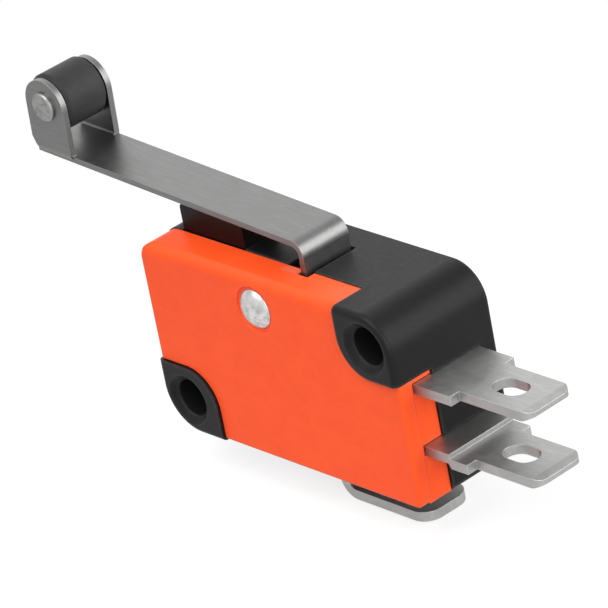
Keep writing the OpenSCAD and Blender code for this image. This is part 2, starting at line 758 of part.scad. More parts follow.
// Contact arm: a stamped frame with a window for the snap spring and two knife-edged legs.
module contact_arm() {
    edge = 0.25;
    x1 = contacts_x + contact_d / 2 + 0.2;
    window_x1 = arm_eye[0] - 0.7;
    half = contact_arm_t / 2;
    color([0.8, 0.6, 0.3])
    intersection() {
        translate([0, 0, knife[1] - half]) linear_extrude(contact_arm_t) difference() {
            translate([knife[0] - edge, -inner_w / 2]) square([x1 - knife[0] + edge, inner_w]);
            translate([knife[0] - 1, -bracket_window / 2])
                square([window_x1 - knife[0] + 1, bracket_window]);
            translate([arm_eye[0] + 0.35, 0]) circle(d = 0.7);
            translate([contacts_x, 0]) circle(d = shank_d + 2 * seat_gap);
        }
        side_view(-inner_w, inner_w) polygon([[knife[0] - 0.05, knife[1]], [knife[0] + edge, knife[1] + half + eps],
            [x1 + 1, knife[1] + half + eps], [x1 + 1, knife[1] - half - eps],
            [knife[0] + edge, knife[1] - half - eps]]);
    }
}

// Moving contact: a rivet with a head on each side of the arm.
module moving_contact() {
    color([0.85, 0.85, 0.85])
    translate([contacts_x, 0, knife[1]]) for (side = [0, 1]) mirror([0, 0, side])
        translate([0, 0, contact_arm_t / 2]) riveted_contact(moving_head_h, contact_arm_t / 2);
}

// Tension spring between the plunger's hook and the contact arm, with an open loop at each end.
module snap_spring() {
    run = arm_eye[0] - hook[0];
    fall = hook[1] - arm_eye[1];
    length = norm([run, fall]);
    loop_r = 0.46;
    arm_loop_r = 0.4;
    turns = 14;
    r = (snap_spring_d - snap_wire_d) / 2;
    coil_l = turns * snap_wire_d * 1.25;
    coil_z = length - coil_l - 1.5;
    color([0.7, 0.7, 0.72])
    translate([hook[0], 0, hook[1]]) rotate([0, 90 + atan(fall / run), 0])
        wire(concat(
            [for (a = [-240 : 24 : 0]) [loop_r * cos(a), 0, loop_r * sin(a)]],
            [[loop_r, 0, coil_z - 1], [r - 0.06, 0.02, coil_z - 0.2]],
            coil(r, coil_z, coil_l, turns, 12),
            [[r - 0.06, -0.02, coil_z + coil_l + 0.2], [arm_loop_r, 0, length - 0.3]],
            [for (a = [0 : 24 : 216]) [arm_loop_r * cos(a), 0, length + arm_loop_r * sin(a)]]),
            snap_wire_d, 6);
}

// Bracket with two notched legs in which the contact arm's knife edges rock.
module pivot_bracket() {
    r_in = 0.4;
    foot_l = 5.4;
    half = inner_w / 2;
    color([0.8, 0.6, 0.3])
    difference() {
        side_view(-half, half) {
            translate([bracket_x, bracket_foot_z + r_in + bracket_t])
                square([bracket_t, bracket_top - bracket_foot_z - r_in - bracket_t]);
            translate([bracket_x + r_in + bracket_t, bracket_foot_z]) square([foot_l - r_in - bracket_t, bracket_t]);
            translate([bracket_x + r_in + bracket_t, bracket_foot_z + r_in + bracket_t])
                quarter_bend(r_in, bracket_t, -1, -1);
        }
        block([bracket_x - 1, -bracket_window / 2, knife[1] - 1], [bracket_x + 1, bracket_window / 2, bracket_top + 1]);
        side_view(-half - 1, half + 1) translate(knife)
            polygon([[-0.12, 0], [0.5, 0.9], [0.5, -0.9]]);
        bracket_rivet_holes();
    }
}

// Rivet that joins the bracket to the common terminal, at y.
module bracket_rivet(y) {
    head_d = bracket_rivet_d + 0.7;
    head_h = 0.45;
    color([0.75, 0.75, 0.76])
    translate([bracket_rivet_x, y, 0]) {
        translate([0, 0, com_floor - eps]) cylinder(d = bracket_rivet_d, h = terminal_t + bracket_t + 2 * eps);
        translate([0, 0, bracket_foot_z + bracket_t]) cylinder(d = head_d, h = head_h);
        translate([0, 0, com_floor - 0.35]) cylinder(d = head_d, h = 0.35);
    }
}

module front_bracket_rivet() {
    bracket_rivet(-bracket_rivet_y);
}

module back_bracket_rivet() {
    bracket_rivet(bracket_rivet_y);
}

// The holes for both rivets, as the solid to take away.
module bracket_rivet_holes() {
    for (side = [-1, 1]) translate([bracket_rivet_x, side * bracket_rivet_y, com_floor - 1])
        cylinder(d = bracket_rivet_d + 2 * seat_gap, h = 4);
}

// --- terminals -----------------------------------------------------------------------

// Common terminal: a strip bent from the tab below the body up through the bottom wall
// and along the floor of the case.
module com_terminal() {
    r_low = 0.8;
    r_up = 0.3;
    z_tab = z_bottom - com_drop;
    tip = x_left + com_tip;
    x_bend = com_leg + terminal_t + r_low;
    color([0.72, 0.72, 0.7])
    difference() {
        intersection() {
            side_view(-tab_w / 2, tab_w / 2) {
                translate([x_bend, z_tab]) square([tip - x_bend, terminal_t]);
                translate([x_bend, z_tab + terminal_t + r_low]) quarter_bend(r_low, terminal_t, -1, -1);
                translate([com_leg, z_tab + terminal_t + r_low])
                    square([terminal_t, com_floor - r_up - z_tab - terminal_t - r_low]);
                translate([com_leg - r_up, com_floor - r_up]) quarter_bend(r_up, terminal_t, 1, 1);
                translate([com_in, com_floor]) square([com_leg - r_up - com_in, terminal_t]);
            }
            union() {
                block([x_left, -tab_w / 2 - 1, z_tab - 1], [tip + 1, tab_w / 2 + 1, z_bottom + wall - eps]);
                block([x_left, -inner_w / 2, z_bottom], [tip, inner_w / 2, z_top]);
            }
        }
        translate([0, 0, z_tab - 1]) linear_extrude(terminal_t + 2) {
            tab_hole(tip - tab_hole_in);
            for (side = [0, 1]) mirror([0, side])
                translate([tip, -tab_w / 2]) mirror([1, 0]) corner_waste(com_corner_r);
        }
        bracket_rivet_holes();
    }
}

// Side view of a flat terminal whose tip is bevelled from both faces, with an optional step down.
module terminal_side(x0, x_step, step, x1, top) {
    bevel = 0.2;
    run = 0.7;
    low = top - terminal_t;
    slope = 0.25;
    polygon([[x0, low], [x_step, low], [x_step + slope, low - step], [x1 - run, low - step],
        [x1, low - step + bevel], [x1, top - step - bevel], [x1 - run, top - step],
        [x_step + terminal_t * 0.25, top - step], [x_step + terminal_t * 0.25, top], [x0, top]]);
}

module no_terminal() {
    tip = x_right + no_reach;
    color([0.72, 0.72, 0.7])
    intersection() {
        side_view(-root_w, root_w) terminal_side(terminal_in, x_right + 2.2, no_step, tip, no_z);
        translate([0, 0, z_bottom]) linear_extrude(body_h)
            terminal_plan(terminal_in, x_right - wall, x_right + no_root_l, tip);
    }
}

module nc_terminal() {
    tip = x_right + nc_reach;
    color([0.72, 0.72, 0.7])
    intersection() {
        side_view(-root_w, root_w) terminal_side(terminal_in, x_right + 2.4, 0, tip, nc_z);
        translate([0, 0, z_bottom]) linear_extrude(body_h)
            terminal_plan(terminal_in, x_right - wall, x_right + nc_root_l, tip);
    }
}

module no_contact() {
    color([0.85, 0.85, 0.85])
    translate([contacts_x, 0, no_z]) riveted_contact(no_contact_z - no_z, terminal_t);
}

module nc_contact() {
    color([0.85, 0.85, 0.85])
    translate([contacts_x, 0, nc_z - terminal_t]) mirror([0, 0, 1])
        riveted_contact(nc_z - terminal_t - nc_contact_z, terminal_t);
}

case();
cover();
cover_rivet();
plunger();
plunger_spring();
lever();
hinge_pin();
roller();
roller_axle();
contact_arm();
moving_contact();
snap_spring();
pivot_bracket();
front_bracket_rivet();
back_bracket_rivet();
com_terminal();
no_terminal();
nc_terminal();
no_contact();
nc_contact();
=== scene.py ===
"""Dresses the lever micro switch.

Gives every node its finish, makes the cover's lip and the two springs,
and sets the floor, the lamps, the world and the camera.
"""

import math

import bmesh
import bpy
from mathutils import Matrix, Vector


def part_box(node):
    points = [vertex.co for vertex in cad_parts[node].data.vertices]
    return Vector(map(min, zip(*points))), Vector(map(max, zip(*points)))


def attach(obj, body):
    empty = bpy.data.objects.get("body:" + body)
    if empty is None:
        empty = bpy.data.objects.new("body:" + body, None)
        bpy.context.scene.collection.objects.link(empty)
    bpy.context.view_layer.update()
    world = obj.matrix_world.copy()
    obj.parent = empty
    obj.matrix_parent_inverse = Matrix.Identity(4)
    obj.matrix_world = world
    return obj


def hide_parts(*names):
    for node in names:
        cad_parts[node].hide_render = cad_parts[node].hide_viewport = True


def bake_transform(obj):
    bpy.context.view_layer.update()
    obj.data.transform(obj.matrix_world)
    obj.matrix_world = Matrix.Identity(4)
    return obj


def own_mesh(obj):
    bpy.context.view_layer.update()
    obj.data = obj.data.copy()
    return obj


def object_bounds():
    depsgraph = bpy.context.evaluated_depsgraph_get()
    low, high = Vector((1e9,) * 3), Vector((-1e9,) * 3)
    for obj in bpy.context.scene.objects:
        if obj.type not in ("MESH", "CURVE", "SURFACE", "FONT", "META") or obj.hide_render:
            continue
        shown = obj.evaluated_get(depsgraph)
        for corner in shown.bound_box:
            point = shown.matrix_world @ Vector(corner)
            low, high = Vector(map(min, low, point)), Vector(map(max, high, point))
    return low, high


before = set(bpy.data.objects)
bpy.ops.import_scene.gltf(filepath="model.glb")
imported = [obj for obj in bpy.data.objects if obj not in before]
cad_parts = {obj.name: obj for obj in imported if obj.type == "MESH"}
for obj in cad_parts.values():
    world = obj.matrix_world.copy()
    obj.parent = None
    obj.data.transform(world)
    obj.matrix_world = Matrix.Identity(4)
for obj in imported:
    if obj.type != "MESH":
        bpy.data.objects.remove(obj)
CAD_LOW, CAD_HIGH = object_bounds()
MM = 0.001
WHITE = (1.0, 1.0, 1.0, 1.0)

bl_info = {
    "name": "Lever Micro Switch Dressing",
    "version": (1, 0, 0),
    "blender": (4, 5, 0),
    "location": "3D View > Sidebar > Micro Switch",
    "description": "Finishes, small made pieces and a stage for a lever micro switch",
    "category": "Object",
}

COVER_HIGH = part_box("cover")[1]
CASE_LOW, CASE_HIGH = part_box("case")

# Noise in the finishes: size of its largest features, and its squeeze along x, y and z.
PLASTIC_CLOUD = 3.2 * MM
PLASTIC_WAVE = 2.4 * MM
PLASTIC_FLOW = 1.1 * MM
# Patches in the painted highlight on the moulded edges.
PLASTIC_HIGHLIGHT_PATCH = 0.6 * MM
PLASTIC_SATIN = 0.5 * MM
PLASTIC_SPECK = 0.35 * MM
PLASTIC_GRAIN = 0.09 * MM
METAL_WAVE = 3.0 * MM
METAL_CLOUD = 1.8 * MM
METAL_SCRATCH = 0.25 * MM
METAL_STREAK = 0.16 * MM
METAL_GRAIN = 0.05 * MM
PLATING_SPOT = 0.5 * MM
PLATING_DENT = 0.3 * MM
FLOW_STRETCH = (0.35, 1.0, 1.0)
SCRATCH_STRETCH = (0.08, 1.0, 1.0)
LEVER_STRETCH = (0.04, 1.0, 1.0)
STRIP_STRETCH = (0.06, 1.0, 1.0)

# Heights of the relief in the finishes.
PLASTIC_WAVE_DEPTH = 0.05 * MM
PLASTIC_GRAIN_DEPTH = 0.02 * MM
METAL_WAVE_DEPTH = 0.03 * MM
METAL_GRAIN_DEPTH = 0.004 * MM
PLATING_DENT_DEPTH = 0.015 * MM

# Edges: how wide the painted highlight on moulded edges and the wear on sheared edges are, as
# multiples of the softening, and how far the product of the softened and the flat normal falls
# below one where the edge mask is full, at a gain of one.
HIGHLIGHT_WIDTH = 3.5
SHEARED_WIDTH = 1.4
WEAR_AND_HIGHLIGHT_FALL = 0.3
EDGE_SAMPLES = 6

# Sockets of a Mix node that mixes colours.
MIX_FACTOR, MIX_A, MIX_B, MIX_RESULT = 0, 6, 7, 2

# Springs: steps in a turn, sides of the wire, length of a hook, and what counts as one point.
COIL_STEPS = 32
WIRE_SIDES = 12
HOOK_LENGTH = 1.1 * MM
MERGE_DISTANCE = 0.001 * MM

# Cover's lip: its underside follows the lever's curled eye, in x and z from the hinge's axis. Its
# front and back are places in y, and its top lies a little below the cover's.
LIP_EYE_SIDE = ((-0.3 * MM, 1.16 * MM), (-0.7 * MM, 0.96 * MM), (-1.42 * MM, 0.6 * MM))
LIP_TIP_HEIGHT = 1.19 * MM
LIP_FRONT, LIP_BACK = -2.6 * MM, -1.8 * MM
LIP_SETBACK = 0.01 * MM

# Lamps: direction, then distance and size as multiples of the switch's diagonal.
LAMPS = {
    "key_lamp": ((-0.1, -0.65, 1.2), 7, 5),
    "fill_lamp": ((1.0, -0.55, 0.35), 8, 6),
    "back_lamp": ((-0.7, 0.56, 0.5), 8, 7),
    "rim_lamp": ((0.75, 0.55, 0.35), 8, 7),
}

# Floor: size and the ring in which it turns white, as multiples of the same diagonal.
FLOOR_SIZE = 30
FADE_START, FADE_END = 0.55, 1.15
FLOOR_GLOW = 0.76

# Camera: width of its sensor in millimetres, and its clipping as multiples of its distance.
SENSOR_WIDTH = 36.0
CLIP_NEAR, CLIP_FAR = 0.05, 40


# ---------------------------------------------------------------- sizes and colours


def colour_property(name, description, value):
    return bpy.props.FloatVectorProperty(
        name=name, description=description, default=value, subtype="COLOR", size=3, min=0.0, max=1.0
    )


def length_property(name, description, value):
    return bpy.props.FloatProperty(name=name, description=description, default=value, unit="LENGTH")


def angle_property(name, description, degrees):
    return bpy.props.FloatProperty(
        name=name, description=description, default=math.radians(degrees), subtype="ANGLE"
    )


def strength_property(name, description, value, most):
    return bpy.props.FloatProperty(
        name=name, description=description, default=value, min=0.0, max=most
    )


class SwitchColours(bpy.types.PropertyGroup):
    """Colours of the switch's materials."""

    cover: colour_property("Cover", "Colour of the moulded cover", (1.0, 0.087, 0.0145))
    case: colour_property("Case", "Colour of the moulded case", (0.0068, 0.0068, 0.0073))
    plunger: colour_property("Plunger", "Colour of the moulded plunger", (0.0042, 0.0024, 0.0025))
    roller: colour_property("Roller", "Colour of the moulded roller", (0.024, 0.024, 0.025))
    lever: colour_property("Lever", "Colour of the rolled stainless strip", (0.19, 0.19, 0.188))
    terminal: colour_property("Terminals", "Colour of the tinned terminals", (0.375, 0.375, 0.37))
    rivet: colour_property("Rivets", "Colour of the plated rivets and pins", (0.62, 0.62, 0.61))
    bronze: colour_property(
        "Spring bronze", "Colour of the contact arm and its bracket", (0.72, 0.45, 0.22)
    )
    silver: colour_property("Contacts", "Colour of the silver contacts", (0.8, 0.79, 0.77))


class SwitchSizes(bpy.types.PropertyGroup):
    """Sizes of the made pieces and of the softened edges."""

    moulded_edge: length_property("Moulded edge", "Softening of the moulded edges", 0.12 * MM)
    sheared_edge: length_property("Sheared edge", "Softening of the sheet metal's edges", 0.06 * MM)
    return_wire: length_property("Return wire", "Diameter of the return spring's wire", 0.3 * MM)
    return_turns: bpy.props.IntProperty(
        name="Return turns", description="Turns of the return spring", default=7, min=3, max=12
    )
    lip_reach: length_property("Lip reach", "Reach of the cover's lip past the hinge", 0.28 * MM)
    mottle: strength_property("Mottling", "Strength of the plastic's colour variation", 0.09, 1.0)


class SwitchStage(bpy.types.PropertyGroup):
    """Camera, lamps and floor."""

    azimuth: angle_property("Azimuth", "Camera's turn round the switch", 51.72)
    elevation: angle_property("Elevation", "Camera's height angle", 26.49)
    roll: angle_property("Roll", "Camera's roll about its line of sight", -11.10)
    distance: length_property("Distance", "Camera's distance from its target", 385.5 * MM)
    lens: bpy.props.FloatProperty(
        name="Lens",
        description="Camera's focal length in millimetres",
        default=303.3,
        min=50.0,
        max=600.0,
    )
    target: bpy.props.FloatVectorProperty(
        name="Target",
        description="Point looked at, as shares of the case's length, thickness and height",
        default=(0.4586, 0.4913, 0.7126),
        size=3,
    )
    floor_gap: length_property("Floor gap", "Drop of the floor below the lowest piece", 0.2 * MM)
    floor_colour: colour_property("Floor", "Colour of the floor", (0.26, 0.26, 0.26))
    world_strength: strength_property("World", "Strength of the light from all round", 0.66, 3.0)
    key_strength: strength_property("Key lamp", "Irradiance of the key lamp", 2.3, 10.0)
    fill_strength: strength_property("Fill lamp", "Irradiance of the fill lamp", 2.2, 10.0)
    back_strength: strength_property(
        "Back lamp", "Irradiance of the low lamp behind the switch", 0.5, 10.0
    )
    rim_strength: strength_property(
        "Rim lamp", "Irradiance of the lamp above the far end", 2.6, 10.0
    )


# ---------------------------------------------------------------- shader helpers


class Finish:
    """A material under construction: one Principled shader and the nodes that feed it."""

    def __init__(self, name):
        self.material = bpy.data.materials.new(name)
        self.material.use_nodes = True
        self.tree = self.material.node_tree
        self.tree.nodes.clear()
        self.shader = self.tree.nodes.new("ShaderNodeBsdfPrincipled")
        output = self.tree.nodes.new("ShaderNodeOutputMaterial")
        self.tree.links.new(self.shader.outputs["BSDF"], output.inputs["Surface"])
        self.place = self.tree.nodes.new("ShaderNodeTexCoord").outputs["Object"]

    def set(self, **sockets):
        """Sets the shader's constants; an underscore stands for the space in a socket's name."""
        for name, value in sockets.items():
            self.shader.inputs[name.replace("_", " ")].default_value = value

    def link(self, source, socket):
        """Feeds one of the shader's sockets."""
        self.tree.links.new(source, self.shader.inputs[socket])

    def stretched(self, scale):
        """Object coordinates times the scale; a small one draws the noise out along its axis."""
        mapping = self.tree.nodes.new("ShaderNodeMapping")
        mapping.inputs["Scale"].default_value = scale
        self.tree.links.new(self.place, mapping.inputs["Vector"])
        return mapping.outputs["Vector"]

    def noise(self, size, detail, rough, distortion=0.0, stretch=None):
        """Noise whose largest features measure size."""
        node = self.tree.nodes.new("ShaderNodeTexNoise")
        node.inputs["Scale"].default_value = 1.0 / size
        node.inputs["Detail"].default_value = detail
        node.inputs["Roughness"].default_value = rough
        node.inputs["Distortion"].default_value = distortion
        place = self.stretched(stretch) if stretch else self.place
        self.tree.links.new(place, node.inputs["Vector"])
        return node.outputs["Fac"]

    def spread(self, value, low, high, out_low, out_high):
        """Maps low to high onto out_low to out_high and holds what lies beyond."""
        node = self.tree.nodes.new("ShaderNodeMapRange")
        node.inputs["From Min"].default_value = low
        node.inputs["From Max"].default_value = high
        node.inputs["To Min"].default_value = out_low
        node.inputs["To Max"].default_value = out_high
        self.tree.links.new(value, node.inputs["Value"])
        return node.outputs["Result"]

    def maths(self, operation, a, b):
        """Works out one value from two, each of them a socket or a number."""
        node = self.tree.nodes.new("ShaderNodeMath")
        node.operation = operation
        for socket, value in zip(node.inputs, (a, b)):
            if isinstance(value, (int, float)):
                socket.default_value = value
            else:
                self.tree.links.new(value, socket)
        return node.outputs[0]

    def mix(self, factor, a, b):
        """Colour a where the factor is 0, colour b where it is 1."""
        node = self.tree.nodes.new("ShaderNodeMix")
        node.data_type = "RGBA"
        self.tree.links.new(factor, node.inputs[MIX_FACTOR])
        for socket, colour in ((node.inputs[MIX_A], a), (node.inputs[MIX_B], b)):
            if isinstance(colour, bpy.types.NodeSocket):
                self.tree.links.new(colour, socket)
            else:
                socket.default_value = (*colour[:3], 1.0)
        return node.outputs[MIX_RESULT]

    def bump(self, height, strength, depth, under):
        """Relief of that depth over the normal under it."""
        node = self.tree.nodes.new("ShaderNodeBump")
        node.inputs["Strength"].default_value = strength
        node.inputs["Distance"].default_value = depth
        self.tree.links.new(height, node.inputs["Height"])
        self.tree.links.new(under, node.inputs["Normal"])
        return node.outputs["Normal"]

    def soft_edge(self, radius):
        """Normal that rounds the edges off by the radius."""
        node = self.tree.nodes.new("ShaderNodeBevel")
        node.samples = EDGE_SAMPLES
        node.inputs["Radius"].default_value = radius
        return node.outputs["Normal"]

    def edge_mask(self, radius, gain):
        """About 1 on an edge, 0 on flat ground; more gain makes the band wider. It masks the wear
        on sheared metal and the painted highlight on moulded plastic.
        """
        bevel = self.soft_edge(radius)
        geometry = self.tree.nodes.new("ShaderNodeNewGeometry")
        dot = self.tree.nodes.new("ShaderNodeVectorMath")
        dot.operation = "DOT_PRODUCT"
        self.tree.links.new(bevel, dot.inputs[0])
        self.tree.links.new(geometry.outputs["Normal"], dot.inputs[1])
        return self.spread(dot.outputs["Value"], 1.0, 1.0 - WEAR_AND_HIGHLIGHT_FALL / gain, 0.0, 1.0)


def scaled(colour, factor):
    """A lighter or darker tint of the colour, at most white."""
    return tuple(min(1.0, c * factor) for c in colour[:3])


def moulded(name, colour, roughness, mottle, edge, grain, shine, edge_highlight=0.0):
    """Injection-moulded plastic: flow marks, darker specks, fine grain and a patchy painted
    highlight along the edges.
    """
    f = Finish(name)
    f.set(Metallic=0.0, IOR=1.5, Specular_IOR_Level=shine)
    cloud = f.noise(PLASTIC_CLOUD, detail=4.0, rough=0.6, distortion=0.6)
    flow = f.noise(PLASTIC_FLOW, detail=3.0, rough=0.55, distortion=1.2, stretch=FLOW_STRETCH)
    tone = f.spread(f.maths("ADD", cloud, f.maths("MULTIPLY", flow, 0.6)), 0.55, 1.05, 0.0, 1.0)
    base = f.mix(tone, scaled(colour, 1.0 - mottle), scaled(colour, 1.0 + mottle))
    specks = f.spread(f.noise(PLASTIC_SPECK, detail=2.0, rough=0.5), 0.66, 0.74, 0.0, 0.35)
    base = f.mix(specks, base, scaled(colour, 1.0 - 3.0 * mottle))
    # Painted highlight: the edges are lightened in patches, standing in for the glint of the lamps
    # on the rounded moulded edges.
    patches = f.spread(f.noise(PLASTIC_HIGHLIGHT_PATCH, detail=3.0, rough=0.6), 0.35, 0.65, 0.35, 1.0)
    painted_highlight = f.maths("MULTIPLY", f.edge_mask(edge * HIGHLIGHT_WIDTH, gain=2.0), patches)
    pale = tuple(c + 0.05 for c in scaled(colour, 1.15))
    base = f.mix(f.maths("MULTIPLY", painted_highlight, edge_highlight), base, pale)
    f.link(base, "Base Color")
    satin = f.noise(PLASTIC_SATIN, detail=4.0, rough=0.6)
    f.link(f.spread(satin, 0.3, 0.7, roughness - 0.03, roughness + 0.04), "Roughness")
    fine = f.noise(PLASTIC_GRAIN, detail=2.0, rough=0.5)
    wave = f.noise(PLASTIC_WAVE, detail=2.0, rough=0.5)
    normal = f.bump(wave, 0.12, PLASTIC_WAVE_DEPTH, f.soft_edge(edge))
    f.link(f.bump(fine, grain, PLASTIC_GRAIN_DEPTH, normal), "Normal")
    return f.material


def sheet_metal(name, colour, roughness, edge, stretch, wear=0.5, cloudy=0.07):
    """Rolled sheet: drawn-out grain, cloudy tarnish, scratches and bright sheared edges."""
    f = Finish(name)
    f.set(Metallic=1.0)
    grain = f.noise(METAL_GRAIN, detail=3.0, rough=0.6, stretch=stretch)
    cloud = f.noise(METAL_CLOUD, detail=5.0, rough=0.62, distortion=0.8)
    tone = f.spread(cloud, 0.32, 0.7, 0.0, 1.0)
    base = f.mix(tone, scaled(colour, 1.0 - cloudy), scaled(colour, 1.0 + 0.8 * cloudy))
    streaks = f.noise(METAL_STREAK, detail=5.0, rough=0.7, stretch=stretch)
    base = f.mix(f.spread(streaks, 0.38, 0.62, 0.0, 0.5), base, scaled(colour, 0.78))
    bright = f.maths("MULTIPLY", f.edge_mask(edge * SHEARED_WIDTH, gain=3.0), wear)
    base = f.mix(bright, base, scaled(colour, 1.7))
    scratches = f.noise(
        METAL_SCRATCH, detail=2.0, rough=0.5, distortion=0.2, stretch=SCRATCH_STRETCH
    )
    base = f.mix(f.spread(scratches, 0.64, 0.7, 0.0, 0.4), base, scaled(colour, 1.3))
    f.link(base, "Base Color")
    tarnish = f.spread(cloud, 0.3, 0.7, roughness - 0.3 * cloudy, roughness + 0.4 * cloudy)
    f.link(f.maths("ADD", tarnish, f.maths("MULTIPLY", grain, 0.08)), "Roughness")
    wave = f.noise(METAL_WAVE, detail=2.0, rough=0.5)
    normal = f.bump(wave, 0.2, METAL_WAVE_DEPTH, f.soft_edge(edge))
    f.link(f.bump(grain, 0.12, METAL_GRAIN_DEPTH, normal), "Normal")
    return f.material


def plated(name, colour, roughness, edge):
    """Plated stock and spring wire: satin, with small dents and dull spots."""
    f = Finish(name)
    f.set(Metallic=1.0)
    spots = f.noise(PLATING_SPOT, detail=4.0, rough=0.6, distortion=0.4)
    dull = f.spread(spots, 0.42, 0.66, 0.0, 1.0)
    f.link(f.mix(dull, colour, scaled(colour, 0.68)), "Base Color")
    f.link(f.spread(dull, 0.0, 1.0, roughness, roughness + 0.16), "Roughness")
    dents = f.noise(PLATING_DENT, detail=3.0, rough=0.55)
    f.link(f.bump(dents, 0.3, PLATING_DENT_DEPTH, f.soft_edge(edge)), "Normal")
    return f.material


def dress(node, material):
    """Gives every slot of a CAD node the material."""
    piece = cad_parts[node]
    if not piece.material_slots:
        raise RuntimeError(f"{node} has no material slot to dress")
    for slot in piece.material_slots:
        slot.material = material


# ---------------------------------------------------------------- finishes


class MICROSWITCH_OT_finish_case(bpy.types.Operator):
    """Dress the black moulded case."""

    bl_idname = "microswitch.finish_case"
    bl_label = "Finish Case"

    def execute(self, context):
        colours, sizes = context.scene.switch_colours, context.scene.switch_sizes
        black = moulded(
            "case_black",
            colours.case,
            roughness=0.42,
            mottle=sizes.mottle * 1.5,
            edge=sizes.moulded_edge,
            grain=0.1,
            shine=0.14,
            # strength of the painted highlight along the case's edges
            edge_highlight=0.7,
        )
        dress("case", black)
        return {"FINISHED"}


class MICROSWITCH_OT_finish_cover(bpy.types.Operator):
    """Dress the orange moulded cover."""

    bl_idname = "microswitch.finish_cover"
    bl_label = "Finish Cover"

    def execute(self, context):
        colours, sizes = context.scene.switch_colours, context.scene.switch_sizes
        orange = moulded(
            "cover_orange",
            colours.cover,
            roughness=0.4,
            mottle=sizes.mottle * 0.8,
            edge=sizes.moulded_edge,
            grain=0.05,
            shine=0.22,
            # strength of the painted highlight along the cover's edges
            edge_highlight=0.55,
        )
        dress("cover", orange)
        return {"FINISHED"}


class MICROSWITCH_OT_finish_plunger(bpy.types.Operator):
    """Dress the dark red plunger and the black roller."""

    bl_idname = "microswitch.finish_plunger"
    bl_label = "Finish Plunger and Roller"

    def execute(self, context):
        colours, sizes = context.scene.switch_colours, context.scene.switch_sizes
        red = moulded(
            "plunger_red",
            colours.plunger,
            roughness=0.34,
            mottle=sizes.mottle * 2,
            edge=sizes.moulded_edge,
            grain=0.04,
            shine=0.1,
        )
        dress("plunger", red)
        black = moulded(
            "roller_black",
            colours.roller,
            roughness=0.52,
            mottle=sizes.mottle * 2,
            edge=sizes.moulded_edge,
            grain=0.06,
            shine=0.18,
        )
        dress("roller", black)
        return {"FINISHED"}


class MICROSWITCH_OT_finish_lever(bpy.types.Operator):
    """Dress the bent stainless lever."""

    bl_idname = "microswitch.finish_lever"
    bl_label = "Finish Lever"

    def execute(self, context):
        colours, sizes = context.scene.switch_colours, context.scene.switch_sizes
        steel = sheet_metal(
            "lever_steel",
            colours.lever,
            roughness=0.34,
            edge=sizes.sheared_edge,
            stretch=LEVER_STRETCH,
        )
        dress("lever", steel)
        return {"FINISHED"}


class MICROSWITCH_OT_finish_terminals(bpy.types.Operator):
    """Dress the three tinned terminals."""

    bl_idname = "microswitch.finish_terminals"
    bl_label = "Finish Terminals"

    def execute(self, context):
        colours, sizes = context.scene.switch_colours, context.scene.switch_sizes
        tin = sheet_metal(
            "terminal_tin",
            colours.terminal,
            roughness=0.42,
            edge=sizes.sheared_edge,
            stretch=STRIP_STRETCH,
            wear=0.35,
            cloudy=0.12,
        )
        for node in ("com_terminal", "no_terminal", "nc_terminal"):
            dress(node, tin)
        return {"FINISHED"}


class MICROSWITCH_OT_finish_rivets(bpy.types.Operator):
    """Dress the rivets, the pins and the springs."""

    bl_idname = "microswitch.finish_rivets"
    bl_label = "Finish Rivets, Pins and Springs"

    def execute(self, context):
        colours, sizes = context.scene.switch_colours, context.scene.switch_sizes
        edge = sizes.sheared_edge
        steel = plated("rivet_steel", colours.rivet, roughness=0.26, edge=edge)
        for node in ("cover_rivet", "hinge_pin", "front_bracket_rivet", "back_bracket_rivet"):
            dress(node, steel)
        darker = plated("axle_steel", scaled(colours.rivet, 0.5), roughness=0.38, edge=edge)
        dress("roller_axle", darker)
        wire = plated("spring_steel", colours.rivet, roughness=0.2, edge=edge)
        for node in ("plunger_spring", "snap_spring"):
            dress(node, wire)
        return {"FINISHED"}


class MICROSWITCH_OT_finish_contacts(bpy.types.Operator):
    """Dress the bronze contact arm, its bracket and the silver contacts."""

    bl_idname = "microswitch.finish_contacts"
    bl_label = "Finish Contact Parts"

    def execute(self, context):
        colours, sizes = context.scene.switch_colours, context.scene.switch_sizes
        bronze = sheet_metal(
            "bronze",
            colours.bronze,
            roughness=0.22,
            edge=sizes.sheared_edge,
            stretch=STRIP_STRETCH,
            wear=0.3,
        )
        for node in ("contact_arm", "pivot_bracket"):
            dress(node, bronze)
        silver = plated(
            "contact_silver", colours.silver, roughness=0.24, edge=sizes.sheared_edge
        )
        for node in ("moving_contact", "no_contact", "nc_contact"):
            dress(node, silver)
        return {"FINISHED"}


# ---------------------------------------------------------------- made pieces


def riding_piece(name, bm, material, body):
    """Turns the bmesh into a piece with its material and slot, riding the body if one is given."""
    mesh = bpy.data.meshes.new(name)
    bmesh.ops.recalc_face_normals(bm, faces=bm.faces)
    bm.to_mesh(mesh)
    bm.free()
    piece = bpy.data.objects.new(name, mesh)
    bpy.context.scene.collection.objects.link(piece)
    mesh.materials.append(material)
    if body:
        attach(piece, body)
    return piece


